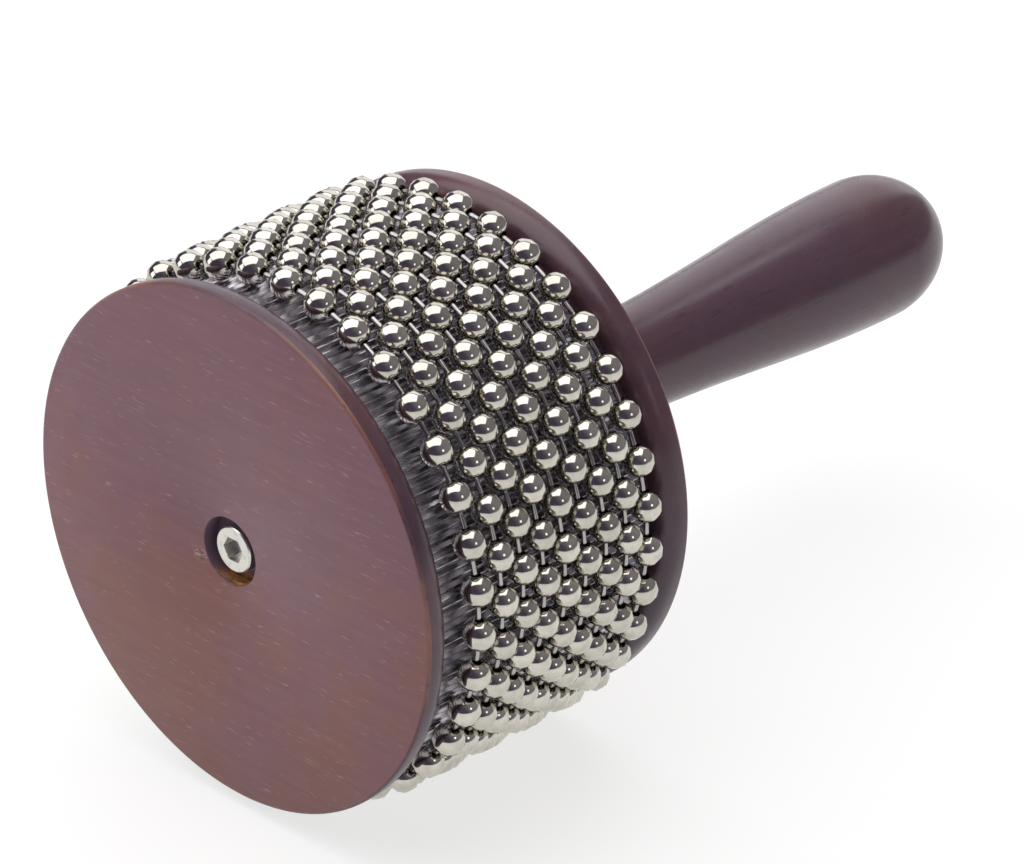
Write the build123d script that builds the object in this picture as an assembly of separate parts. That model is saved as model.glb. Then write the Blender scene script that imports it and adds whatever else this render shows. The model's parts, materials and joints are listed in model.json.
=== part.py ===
from build123d import *
import math
import os

# Hand percussion drum: two wooden discs and a core on one tie screw, a fluted metal
# sleeve, a turned handle, and nine loose loops of hollow beads that spin on the sleeve.
# Millimetres.  The drum axis is Y, the handle points to +Y, Z is up.

os.makedirs("parts", exist_ok=True)

# Wooden discs
disc_diameter = 114.0
disc_thickness = 6.8
disc_face_round = 0.75
disc_chain_round = 4.5

# Fluted sleeve and the core under it
sleeve_crest_diameter = 104.4
sleeve_flutes = 192
sleeve_flute_depth = 0.6
sleeve_sheet = 0.35
sleeve_seam = 0.5
sleeve_core_clearance = 0.1
sleeve_end_clearance = 0.1
core_edge_chamfer = 0.5

# Bead loops: the beads of each loop nest in the gaps of the loops beside it
loop_count = 9
beads_per_loop = 36
bead_diameter = 7.0
bead_wall = 0.5
bead_lip = 0.3
loop_clearance = 0.3
first_row_pitch = 6.5
row_pitch = 5.9
front_gap = 4.5
rear_gap = 1.1
loop_phase = 7.6

# Pins that join the beads
pin_diameter = 1.1
pin_hole_clearance = 0.1
pin_head_hold = 0.1
pin_head_thickness = 0.5
pin_head_setback = 0.35

# Tie screw with a hexagon socket, and its threaded insert in the handle
screw_diameter = 6.0
screw_head_diameter = 10.0
screw_head_height = 3.0
screw_head_recess = 1.0
screw_head_chamfer = 0.25
screw_socket_across_flats = 5.0
screw_socket_depth = 2.0
screw_reach = 18.0
screw_hole_clearance = 0.2
thread_clearance = 0.05
counterbore_diameter = 15.0
insert_diameter = 10.0
insert_length = 16.0
insert_clearance = 0.03
blind_hole_spare = 3.0

# Turned handle
neck_diameter = 23.0
neck_length = 30.0
swell_length = 87.3
swell_diameter = 32.4
swell_start_pull = 35.0
swell_end_pull = 31.0
handle_cap_length = 19.5
shoulder_chamfer = 0.6
tenon_diameter = 16.0
tenon_clearance = 0.03
tenon_end_clearance = 0.2

# Sizes that follow from the ones above
disc_radius = disc_diameter / 2
crest_radius = sleeve_crest_diameter / 2
valley_radius = crest_radius - sleeve_flute_depth
core_radius = valley_radius - sleeve_sheet - sleeve_core_clearance
half_pitch = math.pi / beads_per_loop
front_loop_at = disc_thickness + front_gap + bead_diameter / 2
rear_loop_at = front_loop_at + first_row_pitch + (loop_count - 2) * row_pitch
core_end = rear_loop_at + bead_diameter / 2 + rear_gap
body_width = core_end + disc_thickness
core_length = core_end - disc_thickness
loop_radius = crest_radius + loop_clearance + bead_diameter / 2
counterbore_depth = screw_head_height + screw_head_recess
hole_radius = screw_diameter / 2 + screw_hole_clearance
neck_end = body_width + neck_length
swell_end = neck_end + swell_length
overall_length = swell_end + handle_cap_length


def loop_layout(number):
    """Distance along the axis and first angle of one loop."""
    if number == 1:
        return front_loop_at, loop_phase
    along = front_loop_at + first_row_pitch + (number - 2) * row_pitch
    out_of_step = 0 if number % 2 else math.degrees(half_pitch)
    return along, loop_phase + out_of_step


def loop_reach(number):
    """How far below the axis the lowest bead of one loop reaches."""
    along, phase = loop_layout(number)
    step = 360 / beads_per_loop
    off_bottom = (phase + 90) % step
    off_bottom = min(off_bottom, step - off_bottom)
    return loop_radius * math.cos(math.radians(off_bottom)) + bead_diameter / 2


# The drum lies on its lowest beads, and the frame stands at the middle of its length
axis_height = max(loop_reach(number) for number in range(1, loop_count + 1))
to_frame = Location((0, -overall_length / 2, axis_height))


def save(shape, name):
    """Move a finished piece into the frame and write it under its node name."""
    placed = to_frame * shape
    placed.label = name
    export_step(placed, "parts/" + name + ".step")


def lathe(points):
    """Turn a closed outline of (radius, distance along the axis) round the drum axis."""
    return revolve(make_face(Polyline(*points, close=True)), Axis.Y)


def rod(radius, start, end):
    """A round bar on the drum axis between two distances from the front face."""
    return lathe([(0, start), (radius, start), (radius, end), (0, end)])


def disc(bore_radius, face_at, inside_at):
    """A wooden disc with a sharp outer face and a soft edge on the side of the beads."""
    outline = make_face(
        Polyline(
            (bore_radius, face_at),
            (disc_radius, face_at),
            (disc_radius, inside_at),
            (bore_radius, inside_at),
            close=True,
        )
    )
    rim = outline.vertices().group_by(Axis.X)[-1]
    face_corner = rim.sort_by(lambda v: abs(v.Y - face_at))[0]
    outline = fillet(face_corner, disc_face_round)
    rim = outline.vertices().filter_by(lambda v: abs(v.Y - inside_at) < 1e-6)
    outline = fillet(rim.sort_by(Axis.X)[-1], disc_chain_round)
    return revolve(outline, Axis.Y)


def ring_of(shape, first_angle):
    """Copies of a piece that sits on +X, set round the axis from +X toward +Z."""
    step = 360 / beads_per_loop
    return [Rot(0, -first_angle - i * step, 0) * shape for i in range(beads_per_loop)]


def make_loop(number):
    """The beads and the pins of one loop, each as a group of separate solids."""
    along, phase = loop_layout(number)
    outer = bead_diameter / 2
    inner = outer - bead_wall
    hole = pin_diameter / 2 + outer * math.sin(half_pitch) + pin_hole_clearance
    lip_plane = math.sqrt(outer**2 - (hole + bead_lip) ** 2)
    mouth_plane = math.sqrt(inner**2 - hole**2)

    # Hollow bead, turned about its own axis, with a flat lip round each mouth
    band = Pos((hole + outer) / 2, 0) * Rectangle(outer - hole, 2 * lip_plane)
    bead = revolve((Circle(outer) - Circle(inner)) & band, Axis.Y)
    bead = Pos(loop_radius, 0, 0) * Rot(90, 0, 0) * bead

    # Pin with a flat head inside each of the two beads that it joins
    head_out = mouth_plane - pin_head_setback
    head_in = head_out - pin_head_thickness
    half_length = loop_radius * math.sin(half_pitch) - head_in
    head_radius = hole + pin_head_hold
    pin = Cylinder(pin_diameter / 2, 2 * half_length)
    for side in (-1, 1):
        place = side * (half_length - pin_head_thickness / 2)
        pin += Pos(0, 0, place) * Cylinder(head_radius, pin_head_thickness)
    pin = Pos(loop_radius * math.cos(half_pitch), 0, 0) * pin

    place = Pos(0, along, 0)
    beads = [place * b for b in ring_of(bead, phase)]
    pins = [place * p for p in ring_of(pin, phase + math.degrees(half_pitch))]
    return Compound(children=beads), Compound(children=pins)


# Front disc: screw hole and counterbore in the outer face
front_disc = disc(hole_radius, 0, disc_thickness)
front_disc -= rod(counterbore_diameter / 2, -1, counterbore_depth)
save(front_disc, "front_disc")

# Rear disc: bored for the tenon of the handle
tenon_hole = tenon_diameter / 2 + tenon_clearance
save(disc(tenon_hole, body_width, core_end), "rear_disc")

# Core between the discs
core = lathe(
    [
        (hole_radius, disc_thickness),
        (core_radius - core_edge_chamfer, disc_thickness),
        (core_radius, disc_thickness + core_edge_chamfer),
        (core_radius, core_end - core_edge_chamfer),
        (core_radius - core_edge_chamfer, core_end),
        (hole_radius, core_end),
    ]
)
save(core, "drum_core")

# Sleeve: one folded sheet wrapped round the core, with its seam at the underside
seam_angle = sleeve_seam / crest_radius
fold_step = (2 * math.pi - seam_angle) / (2 * sleeve_flutes)
folds = range(2 * sleeve_flutes + 1)
outer_folds = []
inner_folds = []
for i in folds:
    angle = -math.pi / 2 + seam_angle / 2 + i * fold_step
    radius = crest_radius if i % 2 else valley_radius
    outer_folds.append((radius * math.cos(angle), radius * math.sin(angle)))
    radius -= sleeve_sheet
    inner_folds.append((radius * math.cos(angle), radius * math.sin(angle)))
sheet = make_face(Polyline(*outer_folds, *reversed(inner_folds), close=True))
sleeve = extrude(sheet, core_length - 2 * sleeve_end_clearance)
sleeve = Pos(0, core_end - sleeve_end_clearance, 0) * Rot(90, 0, 0) * sleeve
save(sleeve, "fluted_sleeve")

# Handle: tenon, shoulder, straight neck, swelling grip and rounded end
tenon_start = core_end + tenon_end_clearance
neck = neck_diameter / 2
swell = swell_diameter / 2
shoulder_corner = (neck - shoulder_chamfer, body_width)
outline = Polyline(
    (0, overall_length),
    (0, tenon_start),
    (tenon_diameter / 2, tenon_start),
    (tenon_diameter / 2, body_width),
    shoulder_corner,
    (neck, body_width + shoulder_chamfer),
    (neck, neck_end),
)
outline += Bezier(
    (neck, neck_end),
    (neck, neck_end + swell_start_pull),
    (swell, swell_end - swell_end_pull),
    (swell, swell_end),
)
# The two arcs of the rounded end meet at 45 degrees
tip_radius = (swell - (math.sqrt(2) - 1) * handle_cap_length) / (2 - math.sqrt(2))
tip_reach = tip_radius / math.sqrt(2)
arcs_meet = (tip_reach, overall_length - tip_radius + tip_reach)
outline += TangentArc((swell, swell_end), arcs_meet, tangent=(0, 1))
outline += TangentArc(arcs_meet, (0, overall_length), tangent=(-1, 1))
handle = revolve(make_face(outline), Axis.Y)
screw_end = body_width + screw_reach
handle -= rod(hole_radius, tenon_start - 1, screw_end + blind_hole_spare)
insert_end = tenon_start + insert_length
handle -= rod(insert_diameter / 2 + insert_clearance, tenon_start - 1, insert_end + insert_clearance)
save(handle, "handle")

# Threaded insert in the tenon end of the handle
thread_radius = screw_diameter / 2 + thread_clearance
insert = rod(insert_diameter / 2, tenon_start, insert_end)
insert -= rod(thread_radius, tenon_start - 1, insert_end + 1)
save(insert, "threaded_insert")

# Tie screw: socket head in the counterbore, shank through the drum into the insert
head = screw_head_diameter / 2
screw = lathe(
    [
        (0, screw_head_recess),
        (head - screw_head_chamfer, screw_head_recess),
        (head, screw_head_recess + screw_head_chamfer),
        (head, counterbore_depth),
        (screw_diameter / 2, counterbore_depth),
        (screw_diameter / 2, screw_end),
        (0, screw_end),
    ]
)
socket = RegularPolygon(screw_socket_across_flats / 2, 6, major_radius=False)
socket = extrude(socket, screw_socket_depth + 1)
socket_floor = screw_head_recess + screw_socket_depth
screw -= Pos(0, socket_floor, 0) * Rot(90, 0, 0) * socket
save(screw, "tie_screw")

# Bead loops, numbered from the front disc to the rear disc
for number in range(1, loop_count + 1):
    beads, pins = make_loop(number)
    save(beads, "chain_%d_beads" % number)
    save(pins, "chain_%d_links" % number)
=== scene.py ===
import json
import math
import random

import bmesh
import bpy
from bpy.props import FloatProperty, FloatVectorProperty, IntProperty, PointerProperty
from mathutils import Matrix, Vector
from mathutils.geometry import interpolate_bezier


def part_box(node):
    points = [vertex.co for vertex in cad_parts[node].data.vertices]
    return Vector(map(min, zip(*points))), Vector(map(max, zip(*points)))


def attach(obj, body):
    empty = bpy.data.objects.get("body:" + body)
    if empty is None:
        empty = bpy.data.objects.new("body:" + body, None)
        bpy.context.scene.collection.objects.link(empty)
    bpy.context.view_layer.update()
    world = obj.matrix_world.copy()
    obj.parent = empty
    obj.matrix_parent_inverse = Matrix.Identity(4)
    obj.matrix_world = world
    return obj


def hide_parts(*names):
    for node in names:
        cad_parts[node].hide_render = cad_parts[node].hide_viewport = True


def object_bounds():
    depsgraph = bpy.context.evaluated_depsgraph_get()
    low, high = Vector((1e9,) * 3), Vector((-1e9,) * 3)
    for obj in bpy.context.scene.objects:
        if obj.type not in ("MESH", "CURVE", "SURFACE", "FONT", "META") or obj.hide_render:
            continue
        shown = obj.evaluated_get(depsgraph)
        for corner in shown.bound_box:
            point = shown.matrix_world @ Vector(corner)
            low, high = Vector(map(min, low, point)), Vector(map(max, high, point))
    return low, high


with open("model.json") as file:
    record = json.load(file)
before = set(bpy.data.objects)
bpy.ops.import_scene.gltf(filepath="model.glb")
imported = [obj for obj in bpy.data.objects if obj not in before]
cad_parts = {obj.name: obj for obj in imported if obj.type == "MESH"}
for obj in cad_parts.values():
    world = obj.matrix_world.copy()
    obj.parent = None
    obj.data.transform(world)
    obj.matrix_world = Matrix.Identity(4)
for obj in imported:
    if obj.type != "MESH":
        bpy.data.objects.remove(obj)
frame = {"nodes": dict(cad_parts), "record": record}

bl_info = {
    "name": "Cabasa",
    "version": (1, 0, 0),
    "blender": (4, 5, 0),
    "location": "3D View > Sidebar > Cabasa",
    "description": "Models and finishes a hand cabasa with loops of ball chain",
    "category": "Object",
}

# The CAD model's own box, and where its drum lies
CAD_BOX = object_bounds()
FACE_LOW, FACE_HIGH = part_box("front_disc")
REAR_LOW, REAR_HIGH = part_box("rear_disc")
HANDLE_LOW, HANDLE_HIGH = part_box("handle")
SLEEVE_LOW, SLEEVE_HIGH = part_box("fluted_sleeve")
FACE_AT = FACE_LOW.y
AXIS_HEIGHT = (FACE_LOW.z + FACE_HIGH.z) / 2
DRUM_ORIGIN = Vector((0.0, FACE_AT, AXIS_HEIGHT))
LOOPS = [joint["child"] for joint in frame["record"]["behaviour"]["joints"]]

MM = 0.001
FULL_TURN = 2 * math.pi

# Distances within which vertices are merged, and within which an edge lies on a ring
WELD = 1e-7
FOLD_WELD = 1e-6
ON_RING = 1e-5

# How finely the pieces are cut
DISC_STEPS = 160
CHAIN_EDGE_CUTS = 10
FACE_EDGE_CUTS = 4
WEAR_CUTS = 2
HANDLE_STEPS = 96
SWELL_POINTS = 28
END_POINTS = 20
BEAD_BANDS = 5
BEAD_STEPS = 12
PIN_SIDES = 12

# Angles past which an edge stays sharp, in degrees
CORNER_ANGLE = 40
FOLD_ANGLE = 20

# Pull of a Bezier curve that follows a quarter of an ellipse
QUARTER_PULL = 0.5523

# Half the flat on a flute's crest, as a share of the flute's pitch
HALF_CREST = 0.05

# A disc's material slots after the one of its faces
RIM, ARRIS, CUT = 1, 2, 3

# Where a disc's edge begins, as a share of its radius, and how squarely a part of the edge
# must look along the axis to count as face, or at least as arris
EDGE_FROM = 0.9
FACE_SQUARE = 0.97
ARRIS_SQUARE = 0.1

# Finishes: lean of the discs' grain, spacing of the pore rows in pores, and the chip beside
# the counterbore, as its place on the face and its reach in millimetres
GRAIN_LEAN = math.radians(-5.0)
PORE_ROWS = 4.5
CHIP_PLACE = (-8.6, -4.0)
CHIP_REACH = (3.0, 2.1)
UNTURNED = (0.0, 0.0, 0.0)
UNSTRETCHED = (1.0, 1.0, 1.0)
BEAD_SEED = 7

# Stage: where the lamps aim, and each lamp's name, direction from the drum, distance,
# width, depth and power
LAMP_AIM = DRUM_ORIGIN + Vector((0.0, 0.06, 0.0))
LAMPS = (
    ("overhead_lamp", (-0.24, -0.105, 0.965), 1.10, 1.90, 1.35, 16.0),
    ("left_lamp", (-0.60, -0.73, 0.32), 1.30, 0.60, 0.60, 2.4),
    ("right_spot", (0.91, 0.07, 0.40), 1.30, 0.26, 0.26, 0.45),
    ("back_panel", (-0.50, 0.70, 0.40), 1.30, 1.10, 1.05, 4.2),
)
FLOOR_DROP = 0.0002
SENSOR_WIDTH = 36.0


def length(name, description, millimetres):
    """A size that a user would change, in metres."""
    return FloatProperty(
        name=name, description=description, default=millimetres * MM,
        min=0.0, subtype="DISTANCE", unit="LENGTH", precision=5,
    )


def colour(name, description, red, green, blue):
    """A linear colour that a user would change."""
    return FloatVectorProperty(
        name=name, description=description, default=(red, green, blue),
        size=3, min=0.0, max=1.0, subtype="COLOR",
    )


class CabasaSizes(bpy.types.PropertyGroup):
    """Sizes of the drum, handle and chain"""

    face_round: length("Face edge", "Rounding of a disc's outer face", 0.75)
    chain_round: length("Chain edge", "Rounding of a disc's edge by the beads", 4.5)
    counterbore: length("Counterbore", "Radius of the screw's counterbore", 7.5)
    counterbore_depth: length("Counterbore depth", "Depth of the counterbore", 4.0)
    counterbore_edge: length("Counterbore edge", "Wear round the counterbore", 0.25)
    screw_hole: length("Screw hole", "Radius of the hole for the tie screw", 3.2)
    tenon: length("Tenon", "Radius of the handle's tenon", 8.0)
    tenon_fit: length("Tenon fit", "Room round the tenon", 0.03)
    insert: length("Insert hole", "Radius of the hole for the insert", 5.03)
    insert_length: length("Insert length", "Depth of the insert's hole", 16.03)
    blind_hole: length("Blind hole", "Depth of the screw hole past the rear disc", 21.0)
    neck: length("Neck", "Radius of the handle's neck", 11.5)
    neck_length: length("Neck length", "Length of the straight neck", 30.0)
    neck_chamfer: length("Neck chamfer", "Chamfer where the neck meets the disc", 0.6)
    swell: length("Swell", "Largest radius of the grip", 16.2)
    swell_length: length("Swell length", "Length over which the grip swells", 87.3)
    swell_start_pull: length("Swell start", "How slowly the swell begins", 35.0)
    swell_end_pull: length("Swell end", "How slowly the swell ends", 31.0)
    crest: length("Sleeve crest", "Radius over the sleeve's flutes", 52.2)
    flute_depth: length("Flute depth", "Depth of the sleeve's flutes", 0.6)
    sheet: length("Sleeve sheet", "Thickness of the sleeve's sheet", 0.35)
    seam: length("Sleeve seam", "Gap where the sleeve's edges meet", 0.5)
    flutes: IntProperty(name="Flutes", description="Flutes round the sleeve", default=192)
    bead: length("Bead", "Radius of a bead", 3.5)
    bead_lip: length("Bead lip", "Width of the flat lip round a bead's mouth", 0.3)
    ring: length("Loop", "Radius of a loop to its bead centres", 56.0)
    beads: IntProperty(name="Beads", description="Beads in each loop", default=36)
    pin: length("Pin", "Radius of a chain pin", 0.55)
    pin_room: length("Pin room", "Room round a pin in a bead's mouth", 0.1)
    pin_half: length("Pin length", "Half the length of a chain pin", 2.89)
    first_bead: FloatProperty(
        name="First bead", description="Angle of the first bead above the side",
        default=math.radians(7.6), subtype="ANGLE", unit="ROTATION",
    )


class CabasaColours(bpy.types.PropertyGroup):
    """Colours of the woods and metals"""

    face_wood: colour("Disc stain", "Stain of the discs", 0.208, 0.087, 0.112)
    face_warm: colour("Disc warm patch", "Warmer patches in the discs", 0.230, 0.090, 0.074)
    edge_wood: colour("Rim stain", "Stain of the discs' rims", 0.072, 0.037, 0.057)
    edge_warm: colour("Rim warm patch", "Warmer patches in the rims", 0.116, 0.054, 0.062)
    arris_wood: colour("Edge stain", "Stain along the face's edge", 0.105, 0.048, 0.056)
    # The edge's pale coppery colour is partly stain worn thin and partly a painted highlight
    # along the face's rounded edge
    arris: colour("Worn, highlit edge", "Stain worn thin along the face's edge", 0.300, 0.135, 0.095)
    handle_wood: colour("Handle stain", "Stain of the handle", 0.090, 0.046, 0.066)
    handle_warm: colour("Handle warm", "Warmer streaks in the handle", 0.100, 0.046, 0.056)
    handle_pore: colour("Handle pores", "Dark pores of handle and rims", 0.020, 0.010, 0.014)
    chip: colour("Chip", "Pale torn fibres beside the counterbore", 0.46, 0.25, 0.20)
    pore: colour("Filled pores", "Pale filler in the pores of the discs", 0.42, 0.28, 0.27)
    # The counterbore's stain is painted lighter than it is, as a painted reflection on its
    # varnished wall
    cut_stain_and_reflection: colour("Cut stain", "Thin stain in the counterbore", 0.160, 0.100, 0.135)
    bare_wood: colour("Bare wood", "Unstained wood in the counterbore", 0.62, 0.27, 0.055)
    core_wood: colour("Core wood", "Pale wood of the hidden core", 0.42, 0.27, 0.14)
    bead_metal: colour("Bead plating", "Nickel plating of the beads", 0.60, 0.575, 0.505)
    # The pins' plating is painted darker than the beads', as painted shade in the gaps between
    # the beads
    pin_metal_shaded: colour("Pin plating", "Duller plating of the pins", 0.43, 0.41, 0.40)
    # The sleeve's metal is painted darker and purplish, as painted shade between the beads and a
    # painted reflection of the dim room
    sleeve_metal_shaded: colour("Sleeve metal", "Bright sheet of the sleeve", 0.52, 0.50, 0.55)
    screw_metal: colour("Screw metal", "Zinc plating of the screw", 0.66, 0.65, 0.60)
    brass: colour("Brass", "Brass of the threaded insert", 0.70, 0.50, 0.22)


class CabasaStage(bpy.types.PropertyGroup):
    """Floor, room and camera"""

    floor: colour("Floor", "Colour of the floor as it lights the drum", 0.85, 0.85, 0.86)
    floor_seen: colour("Floor seen", "Part of the white that takes shadow", 0.34, 0.34, 0.335)
    floor_glow: FloatProperty(
        name="Floor glow", description="Part of the floor's white that stays in the shadow",
        default=0.72,
    )
    room: colour("Room", "Colour of the dim room round the set", 0.085, 0.070, 0.115)
    room_bright: colour("Bright side", "Colour of the room's bright side", 0.28, 0.265, 0.29)
    room_bright_side: FloatVectorProperty(
        name="Toward bright side", description="Direction of the room's bright side",
        default=(0.35, 0.75, 0.56), size=3, subtype="DIRECTION",
    )
    floor_size: FloatProperty(
        name="Floor size", description="Width of the floor", default=8.0,
        subtype="DISTANCE", unit="LENGTH",
    )
    lens: FloatProperty(
        name="Lens", description="Focal length in millimetres on a 36 mm sensor",
        default=200.441,
    )
    camera_offset: FloatVectorProperty(
        name="Camera", description="Camera from the middle of the front face",
        default=(0.740059, -0.668324, 0.563187), size=3,
        subtype="TRANSLATION", unit="LENGTH",
    )
    camera_forward: FloatVectorProperty(
        name="View", description="Direction in which the camera looks",
        default=(-0.618913, 0.626330, -0.473981), size=3, subtype="DIRECTION",
    )


def sizes():
    return bpy.context.scene.cabasa_sizes


def colours():
    return bpy.context.scene.cabasa_colours


# Mesh helpers


def spin_closed(bm, geom, axis, steps):
    """Spin an outline a full turn about an axis through the origin, faces outward."""
    bmesh.ops.spin(
        bm, geom=geom, cent=(0, 0, 0), axis=axis,
        angle=FULL_TURN, steps=steps, use_merge=True,
    )
    bmesh.ops.remove_doubles(bm, verts=bm.verts, dist=WELD)
    bmesh.ops.recalc_face_normals(bm, faces=bm.faces)


def repeat_round(bm, angle, count):
    """Repeat all of a bmesh round the drum axis, from +X toward +Z."""
    bmesh.ops.spin(
        bm, geom=bm.verts[:] + bm.edges[:] + bm.faces[:], cent=(0, 0, 0), axis=(0, -1, 0),
        angle=angle * (count - 1), steps=count - 1, use_duplicate=True,
    )


def lathe(bm, outline, steps, closed=False):
    """Spin an outline of (radius, distance behind the front face) round the drum axis."""
    verts = [bm.verts.new((radius, along, 0.0)) for radius, along in outline]
    edges = [bm.edges.new(pair) for pair in zip(verts, verts[1:])]
    if closed:
        edges.append(bm.edges.new((verts[-1], verts[0])))
    spin_closed(bm, verts + edges, (0, 1, 0), steps)


def from_axis(place):
    """Distance of a point from the drum axis, for a piece not yet in its place."""
    return math.hypot(place.x, place.z)


def ring_edges(bm, radius, along):
    """The edges of a turned piece that run round it at one radius and distance."""
    return [
        edge for edge in bm.edges
        if all(
            abs(from_axis(v.co) - radius) < ON_RING and abs(v.co.y - along) < ON_RING
            for v in edge.verts
        )
    ]


def round_edge(bm, radius, along, size, segments):
    """Round one circular edge of a turned piece."""
    bmesh.ops.bevel(
        bm, geom=ring_edges(bm, radius, along), offset=size, offset_type="OFFSET",
        affect="EDGES", segments=segments, profile=0.5, material=-1,
    )


def shade(bm, sharp_angle=CORNER_ANGLE):
    """Smooth faces, with sharp edges where the surface turns a corner."""
    for face in bm.faces:
        face.smooth = True
    for edge in bm.edges:
        if len(edge.link_faces) == 2:
            edge.smooth = edge.calc_face_angle(0.0) < math.radians(sharp_angle)


def to_drum(bm):
    """Move a piece modelled from the front face's middle to its place in the frame."""
    bmesh.ops.translate(bm, vec=DRUM_ORIGIN, verts=bm.verts)


def to_mesh(name, bm):
    """Turn a bmesh into a mesh and free it."""
    mesh = bpy.data.meshes.new(name)
    bm.to_mesh(mesh)
    bm.free()
    return mesh


def add_piece(name, bm, body, nodes, materials):
    """Make a piece of a bmesh that rides on a body and stands for its CAD nodes."""
    mesh = to_mesh(name, bm)
    for material in materials:
        mesh.materials.append(material)
    piece = bpy.data.objects.new(name, mesh)
    bpy.context.scene.collection.objects.link(piece)
    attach(piece, body)
    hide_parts(*nodes)


def finish_node(node, material):
    """Give a CAD node that keeps its own shape a finished material."""
    mesh = frame["nodes"][node].data
    mesh.materials.clear()
    mesh.materials.append(material)


# Material helpers


def start_material(name):
    """A new material and its surface shader, or a finished material and None."""
    material = bpy.data.materials.get(name)
    if material:
        return material, None
    material = bpy.data.materials.new(name)
    material.use_nodes = True
    tree = material.node_tree
    tree.nodes.clear()
    output = tree.nodes.new("ShaderNodeOutputMaterial")
    shader = tree.nodes.new("ShaderNodeBsdfPrincipled")
    tree.links.new(shader.outputs["BSDF"], output.inputs["Surface"])
    return material, shader


def node(tree, kind, **values):
    """Add a node, setting its own properties and then its input sockets by name."""
    made = tree.nodes.new(kind)
    for key, value in values.items():
        if hasattr(made, key):
            setattr(made, key, value)
        else:
            made.inputs[key.replace("_", " ")].default_value = value
    return made


def mapped(tree, centre, turn, stretch):
    """Object coordinates from a centre, turned and stretched for a pattern."""
    coords = tree.nodes.new("ShaderNodeTexCoord")
    shift = node(tree, "ShaderNodeMapping", vector_type="POINT", Location=-Vector(centre))
    tree.links.new(coords.outputs["Object"], shift.inputs["Vector"])
    mapping = node(
        tree, "ShaderNodeMapping", vector_type="POINT", Rotation=turn, Scale=stretch,
    )
    tree.links.new(shift.outputs["Vector"], mapping.inputs["Vector"])
    return mapping.outputs["Vector"]


def height_of(tree, vector):
    """The upward part of a mapped vector."""
    axes = tree.nodes.new("ShaderNodeSeparateXYZ")
    tree.links.new(vector, axes.inputs["Vector"])
    return axes.outputs["Z"]


def noise(tree, vector, scale, detail=2.0, roughness=0.5):
    """Noise over a mapped vector."""
    made = node(tree, "ShaderNodeTexNoise", Scale=scale, Detail=detail, Roughness=roughness)
    tree.links.new(vector, made.inputs["Vector"])
    return made.outputs["Fac"]


def ramp(tree, value, low, high, low_out=0.0, high_out=1.0):
    """Map a value between two levels to a range, clamped."""
    made = node(tree, "ShaderNodeMapRange", clamp=True)
    made.inputs["From Min"].default_value = low
    made.inputs["From Max"].default_value = high
    made.inputs["To Min"].default_value = low_out
    made.inputs["To Max"].default_value = high_out
    tree.links.new(value, made.inputs["Value"])
    return made.outputs["Result"]


def combine(tree, operation, first, second):
    """Work out one value from two, each a number or a socket."""
    made = node(tree, "ShaderNodeMath", operation=operation)
    for socket, value in zip(made.inputs, (first, second)):
        if isinstance(value, (int, float)):
            socket.default_value = value
        else:
            tree.links.new(value, socket)
    return made.outputs["Value"]


def times(tree, first, second):
    """Product of two values."""
    return combine(tree, "MULTIPLY", first, second)


def blend_colours(tree, factor, first, second):
    """Mix two colours, each a value or a socket."""
    made = node(tree, "ShaderNodeMix", data_type="RGBA", blend_type="MIX")
    tree.links.new(factor, made.inputs["Factor"])
    for name, value in (("A", first), ("B", second)):
        socket = [s for s in made.inputs if s.name == name and s.type == "RGBA"][0]
        if isinstance(value, bpy.types.NodeSocket):
            tree.links.new(value, socket)
        else:
            socket.default_value = (*value, 1.0)
    return [s for s in made.outputs if s.type == "RGBA"][0]


def brightened(tree, tint, level):
    """A colour made brighter or darker by a value."""
    made = node(tree, "ShaderNodeVectorMath", operation="SCALE")
    tree.links.new(tint, made.inputs[0])
    tree.links.new(level, made.inputs["Scale"])
    return made.outputs["Vector"]


def bump(tree, shader, height, strength, distance):
    """Relief from a height value."""
    made = node(tree, "ShaderNodeBump", Strength=strength, Distance=distance)
    tree.links.new(height, made.inputs["Height"])
    tree.links.new(made.outputs["Normal"], shader.inputs["Normal"])


def grain_scale(sizes_mm):
    """Stretch that gives a pattern these feature sizes, in millimetres."""
    return tuple(1.0 / (size * MM) for size in sizes_mm)


def darker(tone, share):
    """A share of a colour."""
    return tuple(share * part for part in tone)


# Finishes


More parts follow.
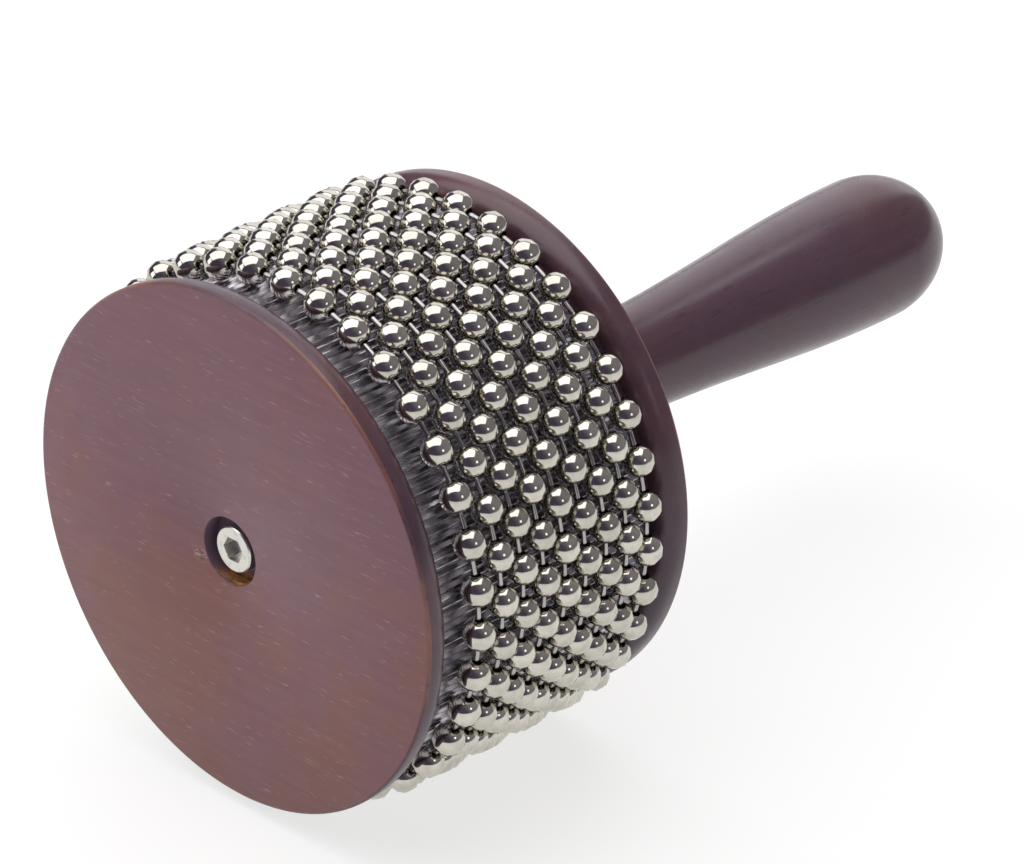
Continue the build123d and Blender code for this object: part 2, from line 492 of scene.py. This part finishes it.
def stained_wood(
    name, stain, warm, pore, turn, grain, pores, gloss, pore_depth=0.4, painted_sheen_tilt=0.0, chip=None,
):
    """Varnished hardwood: broad warm patches, fine grain and short open pores."""
    material, shader = start_material(name)
    if shader is None:
        return material
    tree = material.node_tree
    plain = mapped(tree, DRUM_ORIGIN, turn, UNSTRETCHED)
    grain_at = mapped(tree, DRUM_ORIGIN, turn, grain_scale(grain))
    pores_at = mapped(tree, DRUM_ORIGIN, turn, grain_scale(pores))
    rows_at = mapped(tree, DRUM_ORIGIN, turn, grain_scale([PORE_ROWS * p for p in pores]))

    # Warm patches, with more or fewer of them in the lower part; this shift by height is painted
    # light, the side with fewer warm patches standing for a painted reflection
    lower = ramp(
        tree, height_of(tree, plain), low=-0.045, high=0.035,
        low_out=painted_sheen_tilt, high_out=-0.5 * painted_sheen_tilt,
    )
    broad = noise(tree, plain, scale=26.0, detail=4.0, roughness=0.6)
    patches = ramp(tree, combine(tree, "ADD", broad, lower), low=0.46, high=0.66)
    tint = blend_colours(tree, patches, stain, warm)

    # Fine grain, and pores that lie in rows
    fine = noise(tree, grain_at, scale=1.0, detail=5.0, roughness=0.65)
    streak = ramp(tree, fine, low=0.34, high=0.66, low_out=0.91, high_out=1.07)
    dashes = ramp(tree, noise(tree, pores_at, scale=1.0, detail=0.0), low=0.64, high=0.74)
    rows = ramp(tree, noise(tree, rows_at, scale=1.0, detail=1.0), low=0.50, high=0.64)
    open_pores = times(tree, times(tree, dashes, rows), pore_depth)
    coloured = blend_colours(tree, open_pores, brightened(tree, tint, streak), pore)
    if chip:
        coloured = chipped(tree, coloured, *chip)
    tree.links.new(coloured, shader.inputs["Base Color"])

    # Varnish that is duller in spots and sinks into the pores
    spots = noise(tree, plain, scale=160.0, detail=3.0, roughness=0.6)
    rough = ramp(tree, spots, low=0.3, high=0.7, low_out=gloss - 0.05, high_out=gloss + 0.06)
    tree.links.new(rough, shader.inputs["Roughness"])
    shader.inputs["IOR"].default_value = 1.5
    height = combine(tree, "SUBTRACT", times(tree, streak, 0.3), open_pores)
    bump(tree, shader, height, strength=0.25, distance=0.00012)
    return material


def chipped(tree, coloured, place, reach, tone):
    """Bare fibres where the varnish has chipped off beside a place on the front face."""
    centre = DRUM_ORIGIN + Vector((place[0], 0.0, place[1])) * MM
    across = (1.0 / (reach[0] * MM), 0.0, 1.0 / (reach[1] * MM))
    lean = (0.0, GRAIN_LEAN, 0.0)
    spot = mapped(tree, centre, lean, across)
    far = node(tree, "ShaderNodeVectorMath", operation="LENGTH")
    tree.links.new(spot, far.inputs[0])
    near = ramp(tree, far.outputs["Value"], low=0.45, high=1.0, low_out=1.0, high_out=0.0)
    fibres = mapped(tree, centre, lean, grain_scale((1.8, 1.0, 0.34)))
    split = ramp(tree, noise(tree, fibres, scale=1.0, roughness=0.6), low=0.44, high=0.56)
    torn = blend_colours(tree, split, darker(tone, 0.18), tone)
    ragged = ramp(tree, noise(tree, fibres, scale=0.7), low=0.40, high=0.48)
    return blend_colours(tree, times(tree, near, ragged), coloured, torn)


def bare_wood(name, tone):
    """Unstained, unvarnished wood with a coarse cut surface."""
    material, shader = start_material(name)
    if shader is None:
        return material
    tree = material.node_tree
    fibres = mapped(tree, DRUM_ORIGIN, UNTURNED, (320.0, 900.0, 1500.0))
    streak = noise(tree, fibres, scale=1.0, detail=4.0, roughness=0.65)
    fine = ramp(tree, streak, low=0.35, high=0.65)
    coloured = blend_colours(tree, fine, darker(tone, 0.35), tone)
    tree.links.new(coloured, shader.inputs["Base Color"])
    rough = ramp(tree, streak, low=0.3, high=0.7, low_out=0.6, high_out=0.85)
    tree.links.new(rough, shader.inputs["Roughness"])
    bump(tree, shader, streak, strength=0.5, distance=0.0003)
    return material


def counterbore_wood(name, stain, tone):
    """A cut hole into which dark stain has run, with raw wood left along its lower side; its
    stain is painted lighter, as a painted reflection on the cut wall.
    """
    material, shader = start_material(name)
    if shader is None:
        return material
    tree = material.node_tree
    plain = mapped(tree, DRUM_ORIGIN, UNTURNED, UNSTRETCHED)
    fibres = mapped(tree, DRUM_ORIGIN, UNTURNED, grain_scale((2.6, 1.2, 0.8)))
    streak = noise(tree, fibres, scale=1.0, detail=4.0, roughness=0.65)
    fine = ramp(tree, streak, low=0.40, high=0.62)
    raw = blend_colours(tree, fine, darker(tone, 0.25), tone)
    lower = ramp(
        tree, height_of(tree, plain), low=-0.0074, high=-0.0052, low_out=1.0, high_out=0.0,
    )
    ragged = ramp(tree, noise(tree, fibres, scale=0.8), low=0.30, high=0.50)
    coloured = blend_colours(tree, times(tree, lower, ragged), stain, raw)
    tree.links.new(coloured, shader.inputs["Base Color"])
    rough = ramp(tree, streak, low=0.3, high=0.7, low_out=0.42, high_out=0.7)
    tree.links.new(rough, shader.inputs["Roughness"])
    bump(tree, shader, streak, strength=0.4, distance=0.0002)
    return material


def plated_metal(name, tone, roughness, spread, scratch, attribute=None):
    """Bright plated metal with faint handling marks and a little tarnish."""
    material, shader = start_material(name)
    if shader is None:
        return material
    tree = material.node_tree
    surface = mapped(tree, DRUM_ORIGIN, UNTURNED, UNSTRETCHED)
    haze = noise(tree, surface, scale=420.0, detail=3.0, roughness=0.6)
    tarnish = ramp(tree, haze, low=0.40, high=0.75)
    tint = blend_colours(tree, tarnish, tone, darker(tone, 0.80))
    if attribute:
        own = node(tree, "ShaderNodeAttribute", attribute_name=attribute)
        level = ramp(
            tree, own.outputs["Fac"], low=0.0, high=1.0, low_out=0.90, high_out=1.04,
        )
        tint = brightened(tree, tint, level)
    tree.links.new(tint, shader.inputs["Base Color"])
    shader.inputs["Metallic"].default_value = 1.0
    marks = noise(tree, surface, scale=1300.0, detail=4.0, roughness=0.7)
    rough = ramp(
        tree, marks, low=0.3, high=0.75, low_out=roughness, high_out=roughness + spread,
    )
    tree.links.new(rough, shader.inputs["Roughness"])
    bump(tree, shader, marks, strength=scratch, distance=0.00002)
    return material


def sleeve_sheet(name, tone):
    """Bright fluted sheet, its colour painted darker and purplish as painted shade and painted
    reflection, with a little tarnish and faint drawing marks along its flutes.
    """
    material, shader = start_material(name)
    if shader is None:
        return material
    tree = material.node_tree
    drawn = mapped(tree, DRUM_ORIGIN, UNTURNED, grain_scale((1.2, 14.0, 1.2)))
    surface = mapped(tree, DRUM_ORIGIN, UNTURNED, UNSTRETCHED)
    lines = noise(tree, drawn, scale=1.0)
    spots = noise(tree, surface, scale=190.0, detail=3.0, roughness=0.6)
    tarnish = times(tree, ramp(tree, spots, low=0.45, high=0.75), 0.3)
    tint = blend_colours(tree, tarnish, tone, darker(tone, 0.55))
    tree.links.new(tint, shader.inputs["Base Color"])
    shader.inputs["Metallic"].default_value = 1.0
    rough = ramp(tree, lines, low=0.3, high=0.7, low_out=0.23, high_out=0.29)
    tree.links.new(rough, shader.inputs["Roughness"])
    bump(tree, shader, lines, strength=0.02, distance=0.00002)
    return material


def turned_steel(name, tone):
    """Turned metal with rings round the drum axis and a little grime."""
    material, shader = start_material(name)
    if shader is None:
        return material
    tree = material.node_tree
    place = mapped(tree, DRUM_ORIGIN, (math.radians(90), 0.0, 0.0), UNSTRETCHED)
    turned = node(
        tree, "ShaderNodeTexWave", wave_type="RINGS", rings_direction="Z",
        Scale=900.0, Distortion=1.5, Detail=2.0,
    )
    tree.links.new(place, turned.inputs["Vector"])
    rings = turned.outputs["Fac"]
    spots = noise(tree, place, scale=700.0, detail=3.0, roughness=0.6)
    grime = times(tree, ramp(tree, spots, low=0.5, high=0.8), 0.5)
    tint = blend_colours(tree, grime, tone, darker(tone, 0.45))
    tree.links.new(tint, shader.inputs["Base Color"])
    shader.inputs["Metallic"].default_value = 1.0
    rough = ramp(tree, rings, low=0.0, high=1.0, low_out=0.24, high_out=0.36)
    tree.links.new(rough, shader.inputs["Roughness"])
    bump(tree, shader, rings, strength=0.08, distance=0.00002)
    return material


# Pieces


def disc_finishes():
    """Finishes of a disc: its faces, its rim, the worn arris with its painted highlight, and the
    cut counterbore with its painted reflection.
    """
    c = colours()
    level = (0.0, GRAIN_LEAN, 0.0)
    # painted_sheen_tilt shifts warm patches by height as painted light: a painted reflection
    # over the upper face, and a painted highlight along the lower rim and arris
    face = stained_wood(
        "varnished_disc", tuple(c.face_wood), tuple(c.face_warm), tuple(c.pore), level,
        grain=(30.0, 3.0, 1.8), pores=(3.0, 0.9, 0.34), gloss=0.40, pore_depth=0.5,
        painted_sheen_tilt=0.12, chip=(CHIP_PLACE, CHIP_REACH, tuple(c.chip)),
    )
    rim = stained_wood(
        "varnished_rim", tuple(c.edge_wood), tuple(c.edge_warm), tuple(c.handle_pore), level,
        grain=(12.0, 2.0, 3.0), pores=(2.0, 0.5, 0.6), gloss=0.30, pore_depth=0.25,
        painted_sheen_tilt=-0.22,
    )
    # Pale coppery arris: worn stain and a painted highlight
    arris = stained_wood(
        "worn_highlit_arris", tuple(c.arris_wood), tuple(c.arris), tuple(c.edge_wood), level,
        grain=(4.0, 2.0, 3.0), pores=(1.2, 0.5, 0.6), gloss=0.34, pore_depth=0.8,
        painted_sheen_tilt=-0.18,
    )
    cut = counterbore_wood("cut_counterbore", tuple(c.cut_stain_and_reflection), tuple(c.bare_wood))
    return [face, rim, arris, cut]


def dress_disc(bm, radius, face_at):
    """Give a disc's rim and the arris of its outer face their own finishes."""
    bm.normal_update()
    face_out = -1.0 if face_at == 0.0 else 1.0
    for face in bm.faces:
        middle = face.calc_center_median()
        square = face.normal.y * face_out
        if from_axis(middle) < EDGE_FROM * radius or square >= FACE_SQUARE:
            continue
        by_face = abs(middle.y - face_at) < sizes().face_round
        face.material_index = ARRIS if by_face and square > ARRIS_SQUARE else RIM


class CABASA_OT_front_disc(bpy.types.Operator):
    """Turn the front disc, with its counterbore for the screw"""

    bl_idname = "cabasa.front_disc"
    bl_label = "Front disc"

    def execute(self, context):
        s = sizes()
        radius = (FACE_HIGH.x - FACE_LOW.x) / 2
        thick = FACE_HIGH.y - FACE_LOW.y
        outline = [
            (s.screw_hole, s.counterbore_depth), (s.counterbore, s.counterbore_depth),
            (s.counterbore, 0.0), (radius, 0.0), (radius, thick), (s.screw_hole, thick),
        ]
        bm = bmesh.new()
        lathe(bm, outline, DISC_STEPS, closed=True)
        round_edge(bm, radius, thick, s.chain_round, CHAIN_EDGE_CUTS)
        round_edge(bm, radius, 0.0, s.face_round, FACE_EDGE_CUTS)
        round_edge(bm, s.counterbore, 0.0, s.counterbore_edge, WEAR_CUTS)
        dress_disc(bm, radius, 0.0)
        near = s.counterbore + 0.5 * s.counterbore_edge
        for face in bm.faces:
            middle = face.calc_center_median()
            if from_axis(middle) < near and middle.y < s.counterbore_depth + WELD:
                face.material_index = CUT
        shade(bm)
        to_drum(bm)
        add_piece(
            "front_disc_wood", bm, "drum", ["front_disc"], disc_finishes(),
        )
        return {"FINISHED"}


class CABASA_OT_rear_disc(bpy.types.Operator):
    """Turn the rear disc, bored for the handle's tenon"""

    bl_idname = "cabasa.rear_disc"
    bl_label = "Rear disc"

    def execute(self, context):
        s = sizes()
        radius = (REAR_HIGH.x - REAR_LOW.x) / 2
        inside = REAR_LOW.y - FACE_AT
        face = REAR_HIGH.y - FACE_AT
        bore = s.tenon + s.tenon_fit
        outline = [(bore, inside), (radius, inside), (radius, face), (bore, face)]
        bm = bmesh.new()
        lathe(bm, outline, DISC_STEPS, closed=True)
        round_edge(bm, radius, inside, s.chain_round, CHAIN_EDGE_CUTS)
        round_edge(bm, radius, face, s.face_round, FACE_EDGE_CUTS)
        dress_disc(bm, radius, face)
        shade(bm)
        to_drum(bm)
        add_piece(
            "rear_disc_wood", bm, "drum", ["rear_disc"], disc_finishes()[:CUT],
        )
        return {"FINISHED"}


class CABASA_OT_core(bpy.types.Operator):
    """Finish the bare wooden core inside the sleeve"""

    bl_idname = "cabasa.core"
    bl_label = "Core"

    def execute(self, context):
        finish_node("drum_core", bare_wood("turned_core", tuple(colours().core_wood)))
        return {"FINISHED"}


class CABASA_OT_sleeve(bpy.types.Operator):
    """Fold the fluted sleeve from one flute, repeated from seam to seam"""

    bl_idname = "cabasa.sleeve"
    bl_label = "Fluted sleeve"

    def execute(self, context):
        s = sizes()
        seam_angle = s.seam / s.crest
        pitch = (FULL_TURN - seam_angle) / s.flutes
        start = SLEEVE_LOW.y - FACE_AT
        width = SLEEVE_HIGH.y - SLEEVE_LOW.y
        valley = s.crest - s.flute_depth
        folds = [
            (0.0, valley), (0.5 - HALF_CREST, s.crest),
            (0.5 + HALF_CREST, s.crest), (1.0, valley),
        ]
        bm = bmesh.new()
        profile = []
        for share, radius in folds:
            angle = share * pitch
            place = (radius * math.cos(angle), start, radius * math.sin(angle))
            profile.append(bm.verts.new(place))
        edges = [bm.edges.new(pair) for pair in zip(profile, profile[1:])]
        grown = bmesh.ops.extrude_edge_only(bm, edges=edges)["geom"]
        moved = [g for g in grown if isinstance(g, bmesh.types.BMVert)]
        bmesh.ops.translate(bm, vec=(0.0, width, 0.0), verts=moved)
        repeat_round(bm, pitch, s.flutes)
        bmesh.ops.remove_doubles(bm, verts=bm.verts, dist=FOLD_WELD)
        to_underside = Matrix.Rotation(math.radians(90) - seam_angle / 2, 4, "Y")
        bmesh.ops.transform(bm, matrix=to_underside, verts=bm.verts)

        # The sheet is open, so its faces are turned outward before it gets its thickness
        bmesh.ops.recalc_face_normals(bm, faces=bm.faces)
        outward = 0.0
        for face in bm.faces:
            middle = face.calc_center_median()
            outward += face.normal.dot(Vector((middle.x, 0.0, middle.z)))
        if outward < 0:
            bmesh.ops.reverse_faces(bm, faces=bm.faces)
        bmesh.ops.solidify(bm, geom=bm.faces[:], thickness=s.sheet)
        shade(bm, FOLD_ANGLE)
        to_drum(bm)
        # Darker, purplish sheet colour: painted shade and painted reflection
        metal = sleeve_sheet("bright_fluted_sheet", tuple(colours().sleeve_metal_shaded))
        add_piece(
            "fluted_sleeve_sheet", bm, "drum", ["fluted_sleeve"], [metal],
        )
        return {"FINISHED"}


class CABASA_OT_handle(bpy.types.Operator):
    """Turn the handle: tenon, neck, swelling grip and rounded end"""

    bl_idname = "cabasa.handle"
    bl_label = "Handle"

    def execute(self, context):
        s, c = sizes(), colours()
        disc_face = REAR_HIGH.y - FACE_AT
        tenon_start = HANDLE_LOW.y - FACE_AT
        tip = HANDLE_HIGH.y - FACE_AT
        hole_end = disc_face + s.blind_hole
        insert_end = tenon_start + s.insert_length
        neck_end = disc_face + s.neck_length
        swell_end = neck_end + s.swell_length
        outline = [
            (0.0, hole_end), (s.screw_hole, hole_end), (s.screw_hole, insert_end),
            (s.insert, insert_end), (s.insert, tenon_start), (s.tenon, tenon_start),
            (s.tenon, disc_face), (s.neck - s.neck_chamfer, disc_face),
            (s.neck, disc_face + s.neck_chamfer),
        ]
        grip = interpolate_bezier(
            (s.neck, neck_end, 0.0), (s.neck, neck_end + s.swell_start_pull, 0.0),
            (s.swell, swell_end - s.swell_end_pull, 0.0), (s.swell, swell_end, 0.0),
            SWELL_POINTS,
        )
        cap = tip - swell_end
        end = interpolate_bezier(
            (s.swell, swell_end, 0.0), (s.swell, swell_end + QUARTER_PULL * cap, 0.0),
            (QUARTER_PULL * s.swell, tip, 0.0), (0.0, tip, 0.0),
            END_POINTS,
        )
        outline += [(p[0], p[1]) for p in grip + end[1:]]
        bm = bmesh.new()
        lathe(bm, outline, HANDLE_STEPS)
        shade(bm)
        to_drum(bm)
        wood = stained_wood(
            "varnished_handle", tuple(c.handle_wood), tuple(c.handle_warm),
            tuple(c.handle_pore), (0.0, 0.0, math.radians(1.5)),
            grain=(2.0, 36.0, 2.0), pores=(0.55, 4.6, 0.55), gloss=0.24,
        )
        add_piece("handle_wood_turned", bm, "drum", ["handle"], [wood])
        return {"FINISHED"}


class CABASA_OT_screw(bpy.types.Operator):
    """Finish the tie screw and its threaded insert"""

    bl_idname = "cabasa.screw"
    bl_label = "Tie screw"

    def execute(self, context):
        c = colours()
        finish_node("tie_screw", turned_steel("plated_screw", tuple(c.screw_metal)))
        finish_node("threaded_insert", turned_steel("turned_brass", tuple(c.brass)))
        return {"FINISHED"}


def loop_place(number):
    """Distance behind the front face and first angle of a loop."""
    s = sizes()
    low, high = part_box("chain_%d_beads" % number)
    along = (low.y + high.y) / 2 - FACE_AT
    half_pitch = math.pi / s.beads
    return along, s.first_bead + (0.0 if number % 2 else half_pitch)


def on_ring(ring, along, angle):
    """Place a piece modelled along Z at the origin on a loop, at an angle from +X to +Z."""
    return (
        Matrix.Translation(Vector((0.0, along, 0.0)))
        @ Matrix.Rotation(-angle, 4, "Y")
        @ Matrix.Translation(Vector((ring, 0.0, 0.0)))
    )


def bead_form():
    """A bead about Z with a flat lip round each mouth of its bore."""
    s = sizes()
    hole = s.pin + s.bead * math.sin(math.pi / s.beads) + s.pin_room
    lip = math.acos((hole + s.bead_lip) / s.bead)
    turns = [lip * (2 * i / BEAD_BANDS - 1) for i in range(BEAD_BANDS + 1)]
    outline = [(s.bead * math.cos(t), s.bead * math.sin(t)) for t in turns]
    mouth = s.bead * math.sin(lip)
    outline += [(hole, mouth), (hole, -mouth)]
    bm = bmesh.new()
    verts = [bm.verts.new((x, 0.0, z)) for x, z in outline]
    edges = [bm.edges.new(pair) for pair in zip(verts, verts[1:] + verts[:1])]
    spin_closed(bm, verts + edges, (0, 0, 1), BEAD_STEPS)
    shade(bm)
    return to_mesh("bead_form", bm)


class CABASA_OT_beads(bpy.types.Operator):
    """Make the bored beads of every loop"""

    bl_idname = "cabasa.beads"
    bl_label = "Beads"

    def execute(self, context):
        s = sizes()
        draw = random.Random(BEAD_SEED)
        metal = plated_metal(
            "nickel_beads", tuple(colours().bead_metal),
            roughness=0.08, spread=0.07, scratch=0.015, attribute="bead_tone",
        )
        form = bead_form()
        step = FULL_TURN / s.beads
        for number, loop in enumerate(LOOPS, 1):
            along, first = loop_place(number)
            bm = bmesh.new()
            tone = bm.faces.layers.float.new("bead_tone")
            for i in range(s.beads):
                old_verts, old_faces = len(bm.verts), len(bm.faces)
                bm.from_mesh(form)
                bm.verts.ensure_lookup_table()
                bm.faces.ensure_lookup_table()
                twist = Matrix.Rotation(draw.uniform(0.0, FULL_TURN), 4, "Z")
                place = on_ring(s.ring, along, first + i * step) @ twist
                bmesh.ops.transform(bm, matrix=place, verts=bm.verts[old_verts:])
                level = draw.random()
                for face in bm.faces[old_faces:]:
                    face[tone] = level
            to_drum(bm)
            add_piece(
                "chain_%d_plated_beads" % number, bm, loop,
                ["chain_%d_beads" % number], [metal],
            )
        bpy.data.meshes.remove(form)
        return {"FINISHED"}


class CABASA_OT_pins(bpy.types.Operator):
    """Make the pins that join the beads of every loop"""

    bl_idname = "cabasa.pins"
    bl_label = "Pins"

    def execute(self, context):
        s = sizes()
        # Darker pin colour: painted shade between the beads
        metal = plated_metal(
            "nickel_pins", tuple(colours().pin_metal_shaded), roughness=0.14, spread=0.10, scratch=0.03,
        )
        step = FULL_TURN / s.beads
        for number, loop in enumerate(LOOPS, 1):
            along, first = loop_place(number)
            bm = bmesh.new()
            bmesh.ops.create_cone(
                bm, cap_ends=True, segments=PIN_SIDES,
                radius1=s.pin, radius2=s.pin, depth=2 * s.pin_half,
            )
            shade(bm)
            middle = on_ring(s.ring * math.cos(step / 2), along, first + step / 2)
            bmesh.ops.transform(bm, matrix=middle, verts=bm.verts)
            repeat_round(bm, step, s.beads)
            to_drum(bm)
            add_piece(
                "chain_%d_plated_pins" % number, bm, loop,
                ["chain_%d_links" % number], [metal],
            )
        return {"FINISHED"}


# Stage


def soft_box(name, direction, distance, width, depth, power):
    """A soft lamp that shines on the drum from a direction, level with the picture."""
    lamp = bpy.data.lights.new(name, "AREA")
    lamp.shape = "RECTANGLE"
    lamp.size = width
    lamp.size_y = depth
    lamp.energy = power
    holder = bpy.data.objects.new(name, lamp)
    toward = Vector(direction).normalized()
    forward = Vector(bpy.context.scene.cabasa_stage.camera_forward)
    picture_right = forward.cross((0.0, 0.0, 1.0))
    side = (picture_right - toward * picture_right.dot(toward)).normalized()
    holder.location = LAMP_AIM + toward * distance
    holder.rotation_mode = "QUATERNION"
    turned = Matrix((side, toward.cross(side), toward)).transposed()
    holder.rotation_quaternion = turned.to_quaternion()
    bpy.context.scene.collection.objects.link(holder)


def floor_material(tone, seen_tone, glow_level):
    """Floor that lights the drum as a pale floor does, and is seen white with a soft shadow."""
    material = bpy.data.materials.new("floor_white")
    material.use_nodes = True
    tree = material.node_tree
    tree.nodes.clear()
    output = tree.nodes.new("ShaderNodeOutputMaterial")
    lit = node(tree, "ShaderNodeBsdfDiffuse", Color=(*tone, 1.0))
    seen = node(tree, "ShaderNodeBsdfDiffuse", Color=(*seen_tone, 1.0))
    glow = node(tree, "ShaderNodeEmission", Color=(1.0, 1.0, 0.99, 1.0), Strength=glow_level)
    white = tree.nodes.new("ShaderNodeAddShader")
    tree.links.new(seen.outputs["BSDF"], white.inputs[0])
    tree.links.new(glow.outputs["Emission"], white.inputs[1])
    path = tree.nodes.new("ShaderNodeLightPath")
    looked_at = path.outputs["Is Camera Ray"]
    for ray in ("Is Glossy Ray", "Is Transmission Ray"):
        looked_at = combine(tree, "MAXIMUM", looked_at, path.outputs[ray])
    pick = tree.nodes.new("ShaderNodeMixShader")
    tree.links.new(looked_at, pick.inputs["Fac"])
    tree.links.new(lit.outputs["BSDF"], pick.inputs[1])
    tree.links.new(white.outputs["Shader"], pick.inputs[2])
    tree.links.new(pick.outputs["Shader"], output.inputs["Surface"])
    return material


def dim_room(scene, dark, bright, bright_side):
    """A dim room that grows lighter toward one side, with no edges to show in the metal."""
    world = bpy.data.worlds.new("dim_room")
    scene.world = world
    world.use_nodes = True
    tree = world.node_tree
    coords = tree.nodes.new("ShaderNodeTexCoord")
    toward = node(tree, "ShaderNodeVectorMath", operation="DOT_PRODUCT")
    tree.links.new(coords.outputs["Generated"], toward.inputs[0])
    toward.inputs[1].default_value = Vector(bright_side).normalized()
    level = ramp(tree, toward.outputs["Value"], low=0.0, high=0.95)
    glow = blend_colours(tree, level, dark, bright)
    tree.links.new(glow, tree.nodes["Background"].inputs["Color"])


class CABASA_OT_stage(bpy.types.Operator):
    """Lay the floor, hang the lamps and set the camera"""

    bl_idname = "cabasa.stage"
    bl_label = "Stage"

    def execute(self, context):
        scene = context.scene
        p = scene.cabasa_stage
        scene.view_settings.view_transform = "Standard"

        bm = bmesh.new()
        bmesh.ops.create_grid(bm, x_segments=1, y_segments=1, size=p.floor_size / 2)
        floor_at = CAD_BOX[0].z - FLOOR_DROP
        bmesh.ops.translate(bm, vec=(0.0, 0.0, floor_at), verts=bm.verts)
        mesh = to_mesh("floor", bm)
        white = floor_material(tuple(p.floor), tuple(p.floor_seen), p.floor_glow)
        mesh.materials.append(white)
        floor = bpy.data.objects.new("floor", mesh)
        scene.collection.objects.link(floor)

        for lamp in LAMPS:
            soft_box(*lamp)
        dim_room(scene, tuple(p.room), tuple(p.room_bright), tuple(p.room_bright_side))

        lens = bpy.data.cameras.new("photo_camera")
        lens.lens = p.lens
        lens.sensor_width = SENSOR_WIDTH
        lens.clip_start = 0.01
        lens.clip_end = 50.0
        camera = bpy.data.objects.new("photo_camera", lens)
        camera.location = DRUM_ORIGIN + Vector(p.camera_offset)
        camera.rotation_mode = "QUATERNION"
        camera.rotation_quaternion = Vector(p.camera_forward).to_track_quat("-Z", "Y")
        scene.collection.objects.link(camera)
        scene.camera = camera
        return {"FINISHED"}


STEPS = (
    CABASA_OT_front_disc,
    CABASA_OT_rear_disc,
    CABASA_OT_core,
    CABASA_OT_sleeve,
    CABASA_OT_handle,
    CABASA_OT_screw,
    CABASA_OT_beads,
    CABASA_OT_pins,
    CABASA_OT_stage,
)


class CABASA_PT_steps(bpy.types.Panel):
    """The steps that make the cabasa, in order"""

    bl_idname = "CABASA_PT_steps"
    bl_label = "Cabasa"
    bl_space_type = "VIEW_3D"
    bl_region_type = "UI"
    bl_category = "Cabasa"

    def draw(self, context):
        for step in STEPS:
            self.layout.operator(step.bl_idname)


GROUPS = {
    "cabasa_sizes": CabasaSizes,
    "cabasa_colours": CabasaColours,
    "cabasa_stage": CabasaStage,
}


def register():
    for group in GROUPS.values():
        bpy.utils.register_class(group)
    for step in STEPS:
        bpy.utils.register_class(step)
    bpy.utils.register_class(CABASA_PT_steps)
    for name, group in GROUPS.items():
        setattr(bpy.types.Scene, name, PointerProperty(type=group))


def unregister():
    for name in GROUPS:
        delattr(bpy.types.Scene, name)
    bpy.utils.unregister_class(CABASA_PT_steps)
    for step in reversed(STEPS):
        bpy.utils.unregister_class(step)
    for group in reversed(list(GROUPS.values())):
        bpy.utils.unregister_class(group)


def main():
    register()
    bpy.ops.cabasa.front_disc()
    bpy.ops.cabasa.rear_disc()
    bpy.ops.cabasa.core()
    bpy.ops.cabasa.sleeve()
    bpy.ops.cabasa.handle()
    bpy.ops.cabasa.screw()
    bpy.ops.cabasa.beads()
    bpy.ops.cabasa.pins()
    bpy.ops.cabasa.stage()


if __name__ == "__main__":
    main()
